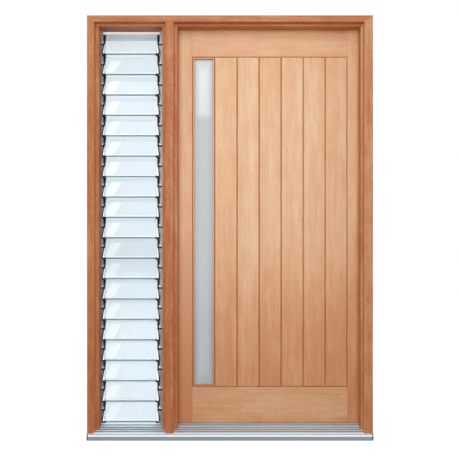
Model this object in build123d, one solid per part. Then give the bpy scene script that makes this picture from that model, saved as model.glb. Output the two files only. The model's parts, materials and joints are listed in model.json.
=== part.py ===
from build123d import *
import os
from math import cos, radians, sin

# Plank entrance door in a rebated timber frame, with a glass louvre sidelight and an aluminium sill.
# Millimetres. X runs to the right seen from outside, Y runs inwards from the frame's outside face, Z is up.
# The origin is on the underside of the sill, in the middle of the frame's width.

# Door leaf
LEAF_WIDTH = 950.0
LEAF_HEIGHT = 2040.0
LEAF_THICKNESS = 40.0
LEAF_EDGE_GAP = 6.5
LEAF_SILL_GAP = 6.0
LEAF_STOP_GAP = 6.0
LOCK_STILE_WIDTH = 84.0
HINGE_STILE_WIDTH = 62.0
TOP_RAIL_HEIGHT = 144.0
BOTTOM_RAIL_HEIGHT = 185.0
PLANK_COUNT = 6
V_JOINT = 4.5
TONGUE_THICKNESS = 8.0
TONGUE_LENGTH = 8.0
TENON_THICKNESS = 12.0
TENON_LENGTH = 40.0
TENON_SHOULDER = 20.0
JOINERY_CLEARANCE = 0.3

# Glass strip in the leaf
STRIP_WIDTH = 118.0
STRIP_GLASS_THICKNESS = 6.0
BEAD_WIDTH = 11.0
BEAD_SETBACK = 2.0
BEAD_CHAMFER = 4.0
STRIP_EDGE_CLEARANCE = 3.0

# Frame timbers
FRAME_DEPTH = 135.0
SCREEN_REBATE = 33.0
HEAD_FACE = 33.0
HEAD_STOP = 12.5
LEFT_JAMB_FACE = 34.5
LEFT_JAMB_STOP = 19.5
RIGHT_JAMB_FACE = 43.5
RIGHT_JAMB_STOP = 11.5
MULLION_FACE = 40.0
MULLION_STOP = 19.0
MULLION_GALLERY_REBATE = 6.5
SIDELIGHT_WIDTH = 321.5
ARRIS = 1.5

# Sill
SILL_NOSE = 12.0
SILL_NOSE_RADIUS = 11.0
SILL_SEAT_HEIGHT = 54.0
SILL_RISER = 4.0
SILL_SEAT_DEPTH = 53.0
SILL_FRONT_HEIGHT = 33.0
SILL_WALL = 3.0
SILL_WEB = 49.0
FLUTE_COUNT = 4
FLUTE_PITCH = 19.0
FLUTE_FIRST = 0.0
FLUTE_WIDTH = 6.0
FLUTE_DEPTH = 4.0
END_CAP_THICKNESS = 6.0
END_CAP_RADIUS = 5.0

# Louvre
BLADE_COUNT = 19
BLADE_THICKNESS = 6.0
BLADE_TILT = 18.0
BLADE_LAP = 6.7
BLADE_TOP_GAP = 17.5
BLADE_BOTTOM_GAP = 10.5
PANE_PROUD = 3.0
GALLERY_WIDTH = 26.5
GALLERY_DEPTH = 31.0
GALLERY_WALL = 2.0
SILL_BAR_THICKNESS = 5.0
SILL_BAR_HEIGHT = 8.0
HEAD_BAR_THICKNESS = 4.0
HEAD_BAR_HEIGHT = 40.0
HEAD_BAR_GAP = 6.0

# Louvre clips
CLIP_GAP = 1.0
CLIP_WIDTH = 12.6
CLIP_WAIST_WIDTH = 11.0
CLIP_WAIST_RISE = 3.0
CLIP_FOOT_WIDTH = 12.0
CLIP_FOOT_FLARE = 4.0
CLIP_FLARE_DROP = 14.0
CLIP_WALL = 2.5
CLIP_GLASS_CLEARANCE = 0.2
CLIP_END_INSET = 4.0
PANE_INSET = 8.0
PLATE_THICKNESS = 1.5
PLATE_HEAD_RISE = -4.0
PLATE_HEAD_INSET = 7.5
PLATE_HEAD_WIDTH = 10.5
PLATE_FOOT_INSET = 1.5
PLATE_FOOT_WIDTH = 11.0
PIVOT_RISE = 10.0
PIVOT_RADIUS = 3.9
PIVOT_LENGTH = 11.0
PIVOT_CLEARANCE = 0.1
PIVOT_NOTCH_DEPTH = 4.0
PIVOT_NOTCH_HALF = 6.0
PIVOT_NOTCH_SLOPE = 6.0
PIVOT_LEDGE = 2.0
BEARING_DEPTH = 4.0
BEARING_HEIGHT = 7.0
BEARING_SEAT = 14.0
BEARING_REACH = 0.5
TOE_WIDTH = 18.0
TOE_HEIGHT = 9.0
TOE_UNDER = 4.0

# Butt hinges
HINGE_COUNT = 3
HINGE_HEIGHT = 100.0
HINGE_END_MARGIN = 180.0
HINGE_PLATE = 2.5
HINGE_PLATE_WIDTH = 30.0
KNUCKLE_RADIUS = 6.0
KNUCKLE_COUNT = 5
KNUCKLE_GAP = 0.4
PIN_RADIUS = 3.5
PIN_CLEARANCE = 0.1

# Places across the width
DOOR_REBATE_WIDTH = LEAF_WIDTH + 2 * LEAF_EDGE_GAP
FRAME_WIDTH = (
    LEFT_JAMB_FACE + LEFT_JAMB_STOP + SIDELIGHT_WIDTH + MULLION_STOP + MULLION_FACE
    + DOOR_REBATE_WIDTH + RIGHT_JAMB_FACE
)
FRAME_LEFT = -FRAME_WIDTH / 2
FRAME_RIGHT = FRAME_WIDTH / 2
SIDE_FACE_LEFT = FRAME_LEFT + LEFT_JAMB_FACE
SIDE_STOP_LEFT = SIDE_FACE_LEFT + LEFT_JAMB_STOP
SIDE_STOP_RIGHT = SIDE_STOP_LEFT + SIDELIGHT_WIDTH
SIDE_FACE_RIGHT = SIDE_STOP_RIGHT + MULLION_STOP
DOOR_FACE_LEFT = SIDE_FACE_RIGHT + MULLION_FACE
DOOR_STOP_LEFT = DOOR_FACE_LEFT + MULLION_STOP
DOOR_FACE_RIGHT = FRAME_RIGHT - RIGHT_JAMB_FACE
DOOR_STOP_RIGHT = DOOR_FACE_RIGHT - RIGHT_JAMB_STOP
GALLERY_SEAT_LEFT = SIDE_FACE_LEFT
GALLERY_SEAT_RIGHT = SIDE_STOP_RIGHT + MULLION_GALLERY_REBATE
LEAF_LEFT = DOOR_FACE_LEFT + LEAF_EDGE_GAP
LEAF_RIGHT = LEAF_LEFT + LEAF_WIDTH

# Places through the depth
LEAF_FRONT = FRAME_DEPTH - LEAF_THICKNESS
LEAF_MIDDLE = FRAME_DEPTH - LEAF_THICKNESS / 2
STOP_BACK = LEAF_FRONT - LEAF_STOP_GAP
SILL_RISER_Y = FRAME_DEPTH - SILL_SEAT_DEPTH
GALLERY_FRONT = FRAME_DEPTH - GALLERY_DEPTH
PANE_Y = GALLERY_FRONT - PANE_PROUD

# Places up the height
LEAF_BOTTOM = SILL_SEAT_HEIGHT + LEAF_SILL_GAP
LEAF_TOP = LEAF_BOTTOM + LEAF_HEIGHT
HEAD_UNDERSIDE = LEAF_TOP + LEAF_EDGE_GAP
HEAD_SOFFIT = HEAD_UNDERSIDE - HEAD_STOP
FRAME_TOP = HEAD_UNDERSIDE + HEAD_FACE
SILL_SLOPE_TOP = SILL_SEAT_HEIGHT - SILL_RISER
SILL_FALL = (SILL_SLOPE_TOP - SILL_FRONT_HEIGHT) / SILL_RISER_Y

# Room that a cutting shape takes past the face that it cuts, and how near counts as at a place
PAST = 20.0
NEAR = 0.1

# Share of its own length by which a mitre's cutting line runs past the timber
MITRE_OVERRUN = 0.5


def slab(x, y, z):
    """A square-edged block between the given limits along each axis."""
    middle = [(low + high) / 2 for low, high in (x, y, z)]
    sides = [high - low for low, high in (x, y, z)]
    return Pos(*middle) * Box(*sides)


def prism_along_x(outline, low, high):
    """A block with the given (y, z) outline between two places along X."""
    return extrude(Plane.YZ.offset(low) * Polygon(*outline, align=None), amount=high - low)


def prism_along_y(outline, low, high):
    """A block with the given (x, z) outline between two places along Y."""
    return extrude(Plane.XZ.offset(-high) * Polygon(*outline, align=None), amount=high - low)


def prism_along_z(outline, low, high):
    """A block with the given (x, y) outline between two heights."""
    return extrude(Plane.XY.offset(low) * Polygon(*outline, align=None), amount=high - low)


def rod_along_x(radius, low, high, y, z):
    """A round bar along X."""
    turned = Rot(0, 90, 0) * Cylinder(radius, high - low)
    return Pos((low + high) / 2, y, z) * turned


def rod_along_z(radius, low, high, x, y):
    """A round bar along Z."""
    return Pos(x, y, (low + high) / 2) * Cylinder(radius, high - low)


def sill_slope(y):
    """Height of the sill's sloping top at a place through the depth."""
    return SILL_FRONT_HEIGHT + SILL_FALL * y


def sill_outline():
    """The sill's section, nose at the front and seat at the rear."""
    return [
        (-SILL_NOSE, 0),
        (FRAME_DEPTH, 0),
        (FRAME_DEPTH, SILL_SEAT_HEIGHT),
        (SILL_RISER_Y, SILL_SEAT_HEIGHT),
        (SILL_RISER_Y, SILL_SLOPE_TOP),
        (-SILL_NOSE, sill_slope(-SILL_NOSE)),
    ]


def round_nose(block):
    """Round the sill's upper front edge."""
    edges = block.edges().filter_by(Axis.X)
    nose = [edge for edge in edges if edge.center().Y < -SILL_NOSE + NEAR and edge.center().Z > NEAR]
    return fillet(nose, SILL_NOSE_RADIUS)


def make_sill():
    """The hollow sill: sloping fluted tread, rounded nose, and a flat seat under the leaf and louvre."""
    low = FRAME_LEFT + END_CAP_THICKNESS
    high = FRAME_RIGHT - END_CAP_THICKNESS
    sill = round_nose(prism_along_x(sill_outline(), low, high))
    for index in range(FLUTE_COUNT):
        y = FLUTE_FIRST + index * FLUTE_PITCH
        flute = [
            (y - FLUTE_WIDTH / 2, sill_slope(y - FLUTE_WIDTH / 2) + FLUTE_DEPTH),
            (y - FLUTE_WIDTH / 2, sill_slope(y) - FLUTE_DEPTH),
            (y + FLUTE_WIDTH / 2, sill_slope(y) - FLUTE_DEPTH),
            (y + FLUTE_WIDTH / 2, sill_slope(y + FLUTE_WIDTH / 2) + FLUTE_DEPTH),
        ]
        sill -= prism_along_x(flute, low - PAST, high + PAST)
    crown = FLUTE_DEPTH + SILL_WALL
    web = SILL_WEB
    front_room = [
        (0, SILL_WALL),
        (web, SILL_WALL),
        (web, sill_slope(web) - crown),
        (0, sill_slope(0) - crown),
    ]
    rear_room = [
        (web + SILL_WALL, SILL_WALL),
        (FRAME_DEPTH - SILL_WALL, SILL_WALL),
        (FRAME_DEPTH - SILL_WALL, SILL_SEAT_HEIGHT - SILL_WALL),
        (SILL_RISER_Y + SILL_WALL, SILL_SEAT_HEIGHT - SILL_WALL),
        (SILL_RISER_Y, SILL_SLOPE_TOP - crown),
        (web + SILL_WALL, sill_slope(web + SILL_WALL) - crown),
    ]
    for room in (front_room, rear_room):
        sill -= prism_along_x(room, low - PAST, high + PAST)
    return sill


def make_end_caps():
    """Two plugs that close the sill's ends, rounded at their outer lower edge."""
    caps = []
    for outer, inner in (
        (FRAME_LEFT, FRAME_LEFT + END_CAP_THICKNESS),
        (FRAME_RIGHT, FRAME_RIGHT - END_CAP_THICKNESS),
    ):
        cap = round_nose(prism_along_x(sill_outline(), min(outer, inner), max(outer, inner)))
        low_edges = [
            edge for edge in cap.edges().filter_by(Axis.Y)
            if abs(edge.center().X - outer) < NEAR and edge.center().Z < NEAR
        ]
        caps.append(fillet(low_edges, END_CAP_RADIUS))
    return caps


def arrises(block):
    """The frame's outside corners: on the two faces, and along the front of the stops."""
    stops = (SIDE_STOP_LEFT, SIDE_STOP_RIGHT, DOOR_STOP_LEFT, DOOR_STOP_RIGHT)
    chosen = []
    for edge in block.edges():
        place = edge.center()
        on_face = abs(place.Y) < NEAR or abs(place.Y - FRAME_DEPTH) < NEAR
        on_stop = any(abs(place.X - x) < NEAR for x in stops) or abs(place.Z - HEAD_SOFFIT) < NEAR
        at_stop_front = abs(place.Y - SCREEN_REBATE) < NEAR and on_stop
        if place.Z > NEAR and (on_face or at_stop_front):
            chosen.append(edge)
    return chosen


def make_frame_block():
    """Jambs, mullion and head as one rebated block, cut to the sill at the bottom."""
    block = slab((FRAME_LEFT, FRAME_RIGHT), (0, FRAME_DEPTH), (0, FRAME_TOP))
    side_bay = (
        (SIDE_FACE_LEFT, SIDE_FACE_RIGHT),
        (SIDE_STOP_LEFT, SIDE_STOP_RIGHT),
        (GALLERY_SEAT_LEFT, GALLERY_SEAT_RIGHT),
    )
    door_bay = (
        (DOOR_FACE_LEFT, DOOR_FACE_RIGHT),
        (DOOR_STOP_LEFT, DOOR_STOP_RIGHT),
        (DOOR_FACE_LEFT, DOOR_FACE_RIGHT),
    )
    for front, stops, rear in (side_bay, door_bay):
        block -= slab(front, (-PAST, SCREEN_REBATE), (-PAST, HEAD_UNDERSIDE))
        block -= slab(stops, (-PAST, FRAME_DEPTH + PAST), (-PAST, HEAD_SOFFIT))
        block -= slab(rear, (STOP_BACK, FRAME_DEPTH + PAST), (-PAST, HEAD_UNDERSIDE))
    block = chamfer(arrises(block), ARRIS)
    under = [
        (-PAST, -PAST),
        (FRAME_DEPTH + PAST, -PAST),
        (FRAME_DEPTH + PAST, SILL_SEAT_HEIGHT),
        (SILL_RISER_Y, SILL_SEAT_HEIGHT),
        (SILL_RISER_Y, SILL_SLOPE_TOP),
        (-PAST, sill_slope(-PAST)),
    ]
    return block - prism_along_x(under, FRAME_LEFT - PAST, FRAME_RIGHT + PAST)


def past(start, end):
    """The point beyond end on the line from start."""
    return tuple(b + (b - a) * MITRE_OVERRUN for a, b in zip(start, end))


def make_frame_timbers():
    """Head, left jamb, mullion and right jamb: mitred at the outer corners, butted at the mullion."""
    block = make_frame_block()
    left_corner = (SIDE_FACE_LEFT, HEAD_UNDERSIDE)
    right_corner = (DOOR_FACE_RIGHT, HEAD_UNDERSIDE)
    mullion_left = (SIDE_FACE_RIGHT, HEAD_UNDERSIDE)
    mullion_right = (DOOR_FACE_LEFT, HEAD_UNDERSIDE)
    head_region = [
        past(left_corner, (FRAME_LEFT, FRAME_TOP)),
        left_corner,
        past(left_corner, (SIDE_STOP_LEFT, HEAD_SOFFIT)),
        past(mullion_left, (SIDE_STOP_RIGHT, HEAD_SOFFIT)),
        mullion_left,
        mullion_right,
        past(mullion_right, (DOOR_STOP_LEFT, HEAD_SOFFIT)),
        past(right_corner, (DOOR_STOP_RIGHT, HEAD_SOFFIT)),
        right_corner,
        past(right_corner, (FRAME_RIGHT, FRAME_TOP)),
    ]
    region = prism_along_y(head_region, -PAST, FRAME_DEPTH + PAST)
    head = block & region
    left_jamb, mullion, right_jamb = (block - region).solids().sort_by(Axis.X)
    return head, left_jamb, mullion, right_jamb


# Louvre layout
BLADE_ROOM = HEAD_SOFFIT - SILL_SEAT_HEIGHT - BLADE_TOP_GAP - BLADE_BOTTOM_GAP
BLADE_EDGE_RISE = BLADE_THICKNESS * sin(radians(BLADE_TILT))
BLADE_PITCH = (BLADE_ROOM - BLADE_LAP - BLADE_EDGE_RISE) / BLADE_COUNT
BLADE_CHORD = (BLADE_PITCH + BLADE_LAP) / cos(radians(BLADE_TILT))
FIRST_PANE_Z = HEAD_SOFFIT - BLADE_TOP_GAP - (BLADE_PITCH + BLADE_LAP + BLADE_EDGE_RISE) / 2
PIVOT_Y = PANE_Y + PIVOT_RISE * sin(radians(BLADE_TILT))
PIVOT_ABOVE_PANE = PIVOT_RISE * cos(radians(BLADE_TILT))
GALLERY_LEFT_FACE = GALLERY_SEAT_LEFT + GALLERY_WIDTH
GALLERY_RIGHT_FACE = GALLERY_SEAT_RIGHT - GALLERY_WIDTH
CLIP_LEFT = GALLERY_LEFT_FACE + CLIP_GAP
CLIP_RIGHT = GALLERY_RIGHT_FACE - CLIP_GAP
BLADE_END = PANE_INSET + CLIP_GLASS_CLEARANCE
CLIP_HALF_DEPTH = BLADE_THICKNESS / 2 + CLIP_GLASS_CLEARANCE + CLIP_WALL
GLASS_SLOT_HALF = BLADE_THICKNESS / 2 + CLIP_GLASS_CLEARANCE


def pane_heights():
    """Heights of the blades' middles, from the top blade down."""
    return [FIRST_PANE_Z - index * BLADE_PITCH for index in range(BLADE_COUNT)]


def pivot_heights():
    """Heights of the blades' pivots, from the top blade down."""
    return [z + PIVOT_ABOVE_PANE for z in pane_heights()]


def blade_plane(z):
    """A blade's own frame at its middle: x along the blade, y up its chord, z out of its outside face."""
    tilt = radians(BLADE_TILT)
    return Plane(origin=(0, PANE_Y, z), x_dir=(1, 0, 0), z_dir=(0, -cos(tilt), sin(tilt)))


def make_blade(z):
    """One pane of the louvre, held at its ends in the clips."""
    half_chord = BLADE_CHORD / 2
    half_thickness = BLADE_THICKNESS / 2
    pane = slab(
        (CLIP_LEFT + BLADE_END, CLIP_RIGHT - BLADE_END),
        (-half_chord, half_chord),
        (-half_thickness, half_thickness),
    )
    return blade_plane(z) * pane


def make_clip_body():
    """A clip: a block over the pane's end, notched where its pivot shows, with a toe under the pane."""
    top = BLADE_CHORD / 2 - CLIP_END_INSET
    toe_low = -BLADE_CHORD / 2 - TOE_UNDER
    toe_high = toe_low + TOE_HEIGHT
    outline = [
        (0, top),
        (0, PIVOT_RISE + PIVOT_NOTCH_HALF + PIVOT_NOTCH_SLOPE),
        (PIVOT_NOTCH_DEPTH, PIVOT_RISE + PIVOT_NOTCH_HALF),
        (PIVOT_NOTCH_DEPTH, PIVOT_RISE - PIVOT_LEDGE),
        (0, PIVOT_RISE - PIVOT_LEDGE),
        (0, -CLIP_FLARE_DROP),
        (-CLIP_FOOT_FLARE, toe_high),
        (CLIP_FOOT_WIDTH, toe_high),
        (CLIP_WAIST_WIDTH, CLIP_WAIST_RISE),
        (CLIP_WIDTH, top),
    ]
    block = prism_along_z(outline, -CLIP_HALF_DEPTH, CLIP_HALF_DEPTH)
    block += slab((0, TOE_WIDTH), (toe_low, toe_high), (-CLIP_HALF_DEPTH, CLIP_HALF_DEPTH))
    block -= slab(
        (PANE_INSET, TOE_WIDTH + PAST),
        (-BLADE_CHORD / 2 - CLIP_GLASS_CLEARANCE, BLADE_CHORD),
        (-GLASS_SLOT_HALF, GLASS_SLOT_HALF),
    )
    return block - rod_along_x(PIVOT_RADIUS + PIVOT_CLEARANCE, -PAST, PANE_INSET, PIVOT_RISE, 0)


def make_clip_plate():
    """Bright plate on a clip's outside face, from under its waist down to its toe."""
    low = -BLADE_CHORD / 2 - TOE_UNDER + TOE_HEIGHT
    outline = [
        (PLATE_FOOT_INSET, low),
        (PLATE_FOOT_WIDTH, low),
        (PLATE_HEAD_WIDTH, PLATE_HEAD_RISE),
        (PLATE_HEAD_INSET, PLATE_HEAD_RISE),
    ]
    return prism_along_z(outline, CLIP_HALF_DEPTH, CLIP_HALF_DEPTH + PLATE_THICKNESS)


def make_pivot_pin():
    """Pin that carries a clip in its gallery."""
    return rod_along_x(PIVOT_RADIUS, -PIVOT_LENGTH, PANE_INSET, PIVOT_RISE, 0)


def at_both_ends(shape):
    """A clip piece at the two ends of every blade."""
    left = Pos(CLIP_LEFT, 0, 0) * shape
    right = Pos(CLIP_RIGHT, 0, 0) * mirror(shape, about=Plane.YZ)
    return [blade_plane(z) * end for z in pane_heights() for end in (left, right)]


def make_bearings():
    """Bearings on the galleries' front faces, one under every pivot."""
    sides = (
        (GALLERY_LEFT_FACE - BEARING_SEAT, GALLERY_LEFT_FACE + BEARING_REACH),
        (GALLERY_RIGHT_FACE - BEARING_REACH, GALLERY_RIGHT_FACE + BEARING_SEAT),
    )
    depth = (GALLERY_FRONT - BEARING_DEPTH, GALLERY_FRONT)
    bearings = []
    for z in pivot_heights():
        top = z - PIVOT_RADIUS - PIVOT_CLEARANCE
        bearings.extend(slab(side, depth, (top - BEARING_HEIGHT, top)) for side in sides)
    return bearings


def make_gallery(seat, inner_face):
    """One upright of the louvre: a channel open towards its timber, notched for the pivots."""
    low, high = min(seat, inner_face), max(seat, inner_face)
    span = (SILL_SEAT_HEIGHT, HEAD_SOFFIT)
    gallery = slab((low, high), (GALLERY_FRONT, FRAME_DEPTH), span)
    inward = 1 if inner_face > seat else -1
    web = inner_face - inward * GALLERY_WALL
    hollow = (min(seat - inward * PAST, web), max(seat - inward * PAST, web))
    gallery -= slab(hollow, (GALLERY_FRONT + GALLERY_WALL, FRAME_DEPTH - GALLERY_WALL), (-PAST, FRAME_TOP))
    reach = inner_face - inward * (PIVOT_LENGTH - CLIP_GAP + PIVOT_CLEARANCE)
    notch = (min(reach, inner_face + inward * PAST), max(reach, inner_face + inward * PAST))
    for z in pivot_heights():
        gallery -= rod_along_x(PIVOT_RADIUS + PIVOT_CLEARANCE, notch[0], notch[1], PIVOT_Y, z)
    return gallery


def make_head_fillet():
    """Timber strip that fills the head's rear rebate above the louvre."""
    return slab(
        (GALLERY_SEAT_LEFT, GALLERY_SEAT_RIGHT),
        (STOP_BACK, FRAME_DEPTH),
        (HEAD_SOFFIT, HEAD_UNDERSIDE),
    )


def make_head_bar():
    """Weather bar between the galleries behind the top blade, with a slot of daylight over it."""
    top = HEAD_SOFFIT - HEAD_BAR_GAP
    return slab(
        (GALLERY_LEFT_FACE, GALLERY_RIGHT_FACE),
        (FRAME_DEPTH - HEAD_BAR_THICKNESS, FRAME_DEPTH),
        (top - HEAD_BAR_HEIGHT, top),
    )


def make_sill_bar():
    """Weather bar on the sill behind the lowest blade."""
    middle = (GALLERY_FRONT + FRAME_DEPTH) / 2
    return slab(
        (GALLERY_LEFT_FACE, GALLERY_RIGHT_FACE),
        (middle - SILL_BAR_THICKNESS / 2, middle + SILL_BAR_THICKNESS / 2),
        (SILL_SEAT_HEIGHT, SILL_SEAT_HEIGHT + SILL_BAR_HEIGHT),
    )


# Leaf layout
LEAF_DEPTH = (LEAF_FRONT, FRAME_DEPTH)
STRIP_LEFT = LEAF_LEFT + LOCK_STILE_WIDTH
STRIP_RIGHT = STRIP_LEFT + STRIP_WIDTH
HINGE_STILE_LEFT = LEAF_RIGHT - HINGE_STILE_WIDTH
PLANK_WIDTH = (HINGE_STILE_LEFT - STRIP_RIGHT) / PLANK_COUNT
BOTTOM_RAIL_TOP = LEAF_BOTTOM + BOTTOM_RAIL_HEIGHT
TOP_RAIL_BOTTOM = LEAF_TOP - TOP_RAIL_HEIGHT


def rail_tenons(low, high, clearance):
    """The tenons at both ends of a rail between two heights, swollen by a clearance for their mortises."""
    half = TENON_THICKNESS / 2 + clearance
    length = TENON_LENGTH + clearance
    heights = (low + TENON_SHOULDER - clearance, high - TENON_SHOULDER + clearance)
    depth = (LEAF_MIDDLE - half, LEAF_MIDDLE + half)
    left = slab((STRIP_LEFT - length, STRIP_LEFT), depth, heights)
    right = slab((HINGE_STILE_LEFT, HINGE_STILE_LEFT + length), depth, heights)
    return left, right


def make_rail(low, high):
    """A rail between the stiles, with a tenon into each."""
    left, right = rail_tenons(low, high, 0)
    return slab((STRIP_LEFT, HINGE_STILE_LEFT), LEAF_DEPTH, (low, high)) + left + right


def make_stile(left, right):
    """A full-height stile, mortised for both rails."""
    stile = slab((left, right), LEAF_DEPTH, (LEAF_BOTTOM, LEAF_TOP))
    for low, high in ((LEAF_BOTTOM, BOTTOM_RAIL_TOP), (TOP_RAIL_BOTTOM, LEAF_TOP)):
        for tenon in rail_tenons(low, high, JOINERY_CLEARANCE):
            stile -= tenon
    return stile


def tongue_slot(x):
    """The groove that takes a plank's tongue from its left, swollen by the joinery clearance."""
    half = TONGUE_THICKNESS / 2 + JOINERY_CLEARANCE
    reach = TONGUE_LENGTH + JOINERY_CLEARANCE
    depth = (LEAF_MIDDLE - half, LEAF_MIDDLE + half)
    return slab((x - PAST, x + reach), depth, (BOTTOM_RAIL_TOP - PAST, TOP_RAIL_BOTTOM + PAST))


def make_plank(index):
    """One tongued plank, counted from the glass strip, with V joints except where the first meets the beads."""
    left = STRIP_RIGHT + index * PLANK_WIDTH
    right = left + PLANK_WIDTH
    front, back = LEAF_DEPTH
    left_joint = V_JOINT if index > 0 else ARRIS
    section = [
        (left + left_joint, front),
        (right - V_JOINT, front),
        (right, front + V_JOINT),
        (right, back - V_JOINT),
        (right - V_JOINT, back),
        (left + left_joint, back),
        (left, back - left_joint),
        (left, front + left_joint),
    ]
    ends = [
        (front, BOTTOM_RAIL_TOP + V_JOINT),
        (front + V_JOINT, BOTTOM_RAIL_TOP),
        (back - V_JOINT, BOTTOM_RAIL_TOP),
        (back, BOTTOM_RAIL_TOP + V_JOINT),
        (back, TOP_RAIL_BOTTOM - V_JOINT),
        (back - V_JOINT, TOP_RAIL_BOTTOM),
        (front + V_JOINT, TOP_RAIL_BOTTOM),
        (front, TOP_RAIL_BOTTOM - V_JOINT),
    ]
    board = prism_along_z(section, BOTTOM_RAIL_TOP, TOP_RAIL_BOTTOM)
    board &= prism_along_x(ends, left - PAST, right + PAST)
    half = TONGUE_THICKNESS / 2
    tongue = slab(
        (right - TONGUE_LENGTH, right + TONGUE_LENGTH),
        (LEAF_MIDDLE - half, LEAF_MIDDLE + half),
        (BOTTOM_RAIL_TOP, TOP_RAIL_BOTTOM),
    )
    board += tongue
    if index > 0:
        board -= tongue_slot(left)
    return board


def make_strip_glass():
    """Obscure pane of the tall strip beside the lock stile."""
    half = STRIP_GLASS_THICKNESS / 2
    return slab(
        (STRIP_LEFT + STRIP_EDGE_CLEARANCE, STRIP_RIGHT - STRIP_EDGE_CLEARANCE),
        (LEAF_MIDDLE - half, LEAF_MIDDLE + half),
        (BOTTOM_RAIL_TOP + STRIP_EDGE_CLEARANCE, TOP_RAIL_BOTTOM - STRIP_EDGE_CLEARANCE),
    )


def make_bead(face, glass):
    """Glazing bead around the strip, from its visible face to the glass, with a chamfered outer edge."""
    low, high = min(face, glass), max(face, glass)
    block = slab((STRIP_LEFT, STRIP_RIGHT), (low, high), (BOTTOM_RAIL_TOP, TOP_RAIL_BOTTOM))
    rim = [edge for edge in block.edges() if abs(edge.center().Y - face) < NEAR]
    block = chamfer(rim, BEAD_CHAMFER)
    return block - slab(
        (STRIP_LEFT + BEAD_WIDTH, STRIP_RIGHT - BEAD_WIDTH),
        (low - PAST, high + PAST),
        (BOTTOM_RAIL_TOP + BEAD_WIDTH, TOP_RAIL_BOTTOM - BEAD_WIDTH),
    )


# Hinge layout
HINGE_X = (LEAF_RIGHT + DOOR_FACE_RIGHT) / 2
HINGE_Y = FRAME_DEPTH + KNUCKLE_RADIUS
HINGE_PLATE_DEPTH = (FRAME_DEPTH - HINGE_PLATE_WIDTH, FRAME_DEPTH)
FRAME_PLATE_X = (DOOR_FACE_RIGHT, DOOR_FACE_RIGHT + HINGE_PLATE)
LEAF_PLATE_X = (LEAF_RIGHT - HINGE_PLATE, LEAF_RIGHT)


def hinge_spans():
    """Lower and upper end of each hinge, spread evenly up the leaf."""
    low = LEAF_BOTTOM + HINGE_END_MARGIN
    high = LEAF_TOP - HINGE_END_MARGIN - HINGE_HEIGHT
    step = (high - low) / (HINGE_COUNT - 1)
    starts = [low + index * step for index in range(HINGE_COUNT)]
    return [(start, start + HINGE_HEIGHT) for start in starts]


def cut_mortises(timber, plate_x):
    """Let the hinge plates in flush with the timber's edge."""
    for span in hinge_spans():
        timber -= slab(plate_x, (HINGE_PLATE_DEPTH[0], FRAME_DEPTH + PAST), span)
    return timber


def make_hinge_half(span, plate_x, first_knuckle):
    """One plate of a butt hinge with every second knuckle, counted from the bottom."""
    low, high = span
    step = HINGE_HEIGHT / KNUCKLE_COUNT
    half = slab(plate_x, HINGE_PLATE_DEPTH, span)
    for index in range(first_knuckle, KNUCKLE_COUNT, 2):
        bottom = low + index * step + KNUCKLE_GAP / 2
        top = low + (index + 1) * step - KNUCKLE_GAP / 2
        half += slab(plate_x, (HINGE_PLATE_DEPTH[0], HINGE_Y), (bottom, top))
        half += rod_along_z(KNUCKLE_RADIUS, bottom, top, HINGE_X, HINGE_Y)
    return half


def make_frame_hinge(span):
    """The fixed half of a hinge, with its pin."""
    half = make_hinge_half(span, FRAME_PLATE_X, 0)
    return half + rod_along_z(PIN_RADIUS, span[0], span[1], HINGE_X, HINGE_Y)


def make_leaf_hinge(span):
    """The moving half of a hinge, bored for the pin."""
    half = make_hinge_half(span, LEAF_PLATE_X, 1)
    return half - rod_along_z(PIN_RADIUS + PIN_CLEARANCE, span[0] - PAST, span[1] + PAST, HINGE_X, HINGE_Y)


def make_pieces():
    """Every piece of the door set by name."""
    head, left_jamb, mullion, right_jamb = make_frame_timbers()
    hinge_stile = make_stile(HINGE_STILE_LEFT, LEAF_RIGHT) - tongue_slot(HINGE_STILE_LEFT)
    glass_front = LEAF_MIDDLE - STRIP_GLASS_THICKNESS / 2
    glass_back = LEAF_MIDDLE + STRIP_GLASS_THICKNESS / 2
    black_fittings = at_both_ends(make_clip_body()) + make_bearings()
    bright_fittings = at_both_ends(make_clip_plate()) + at_both_ends(make_pivot_pin())
    pieces = {
        "head": head,
        "left_jamb": left_jamb,
        "mullion": mullion,
        "right_jamb": cut_mortises(right_jamb, FRAME_PLATE_X),
        "sill": make_sill(),
        "sill_end_caps": Compound(children=make_end_caps()),
        "louvre_head_fillet": make_head_fillet(),
        "louvre_head_bar": make_head_bar(),
        "louvre_sill_bar": make_sill_bar(),
        "left_gallery": make_gallery(GALLERY_SEAT_LEFT, GALLERY_LEFT_FACE),
        "right_gallery": make_gallery(GALLERY_SEAT_RIGHT, GALLERY_RIGHT_FACE),
        "louvre_clip_bodies": Compound(children=black_fittings),
        "louvre_clip_plates": Compound(children=bright_fittings),
        "frame_hinges": Compound(children=[make_frame_hinge(span) for span in hinge_spans()]),
        "leaf_hinges": Compound(children=[make_leaf_hinge(span) for span in hinge_spans()]),
        "lock_stile": make_stile(LEAF_LEFT, STRIP_LEFT),
        "hinge_stile": cut_mortises(hinge_stile, LEAF_PLATE_X),
        "top_rail": make_rail(TOP_RAIL_BOTTOM, LEAF_TOP),
        "bottom_rail": make_rail(LEAF_BOTTOM, BOTTOM_RAIL_TOP),
        "strip_glass": make_strip_glass(),
        "outside_bead": make_bead(LEAF_FRONT + BEAD_SETBACK, glass_front),
        "inside_bead": make_bead(FRAME_DEPTH - BEAD_SETBACK, glass_back),
    }
    for index, z in enumerate(pane_heights(), start=1):
        pieces[f"louvre_blade_{index:02d}"] = make_blade(z)
    for index in range(PLANK_COUNT):
        pieces[f"plank_{index + 1}"] = make_plank(index)
    return pieces


os.makedirs("parts", exist_ok=True)
for name, piece in make_pieces().items():
    export_step(piece, f"parts/{name}.step")
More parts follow.
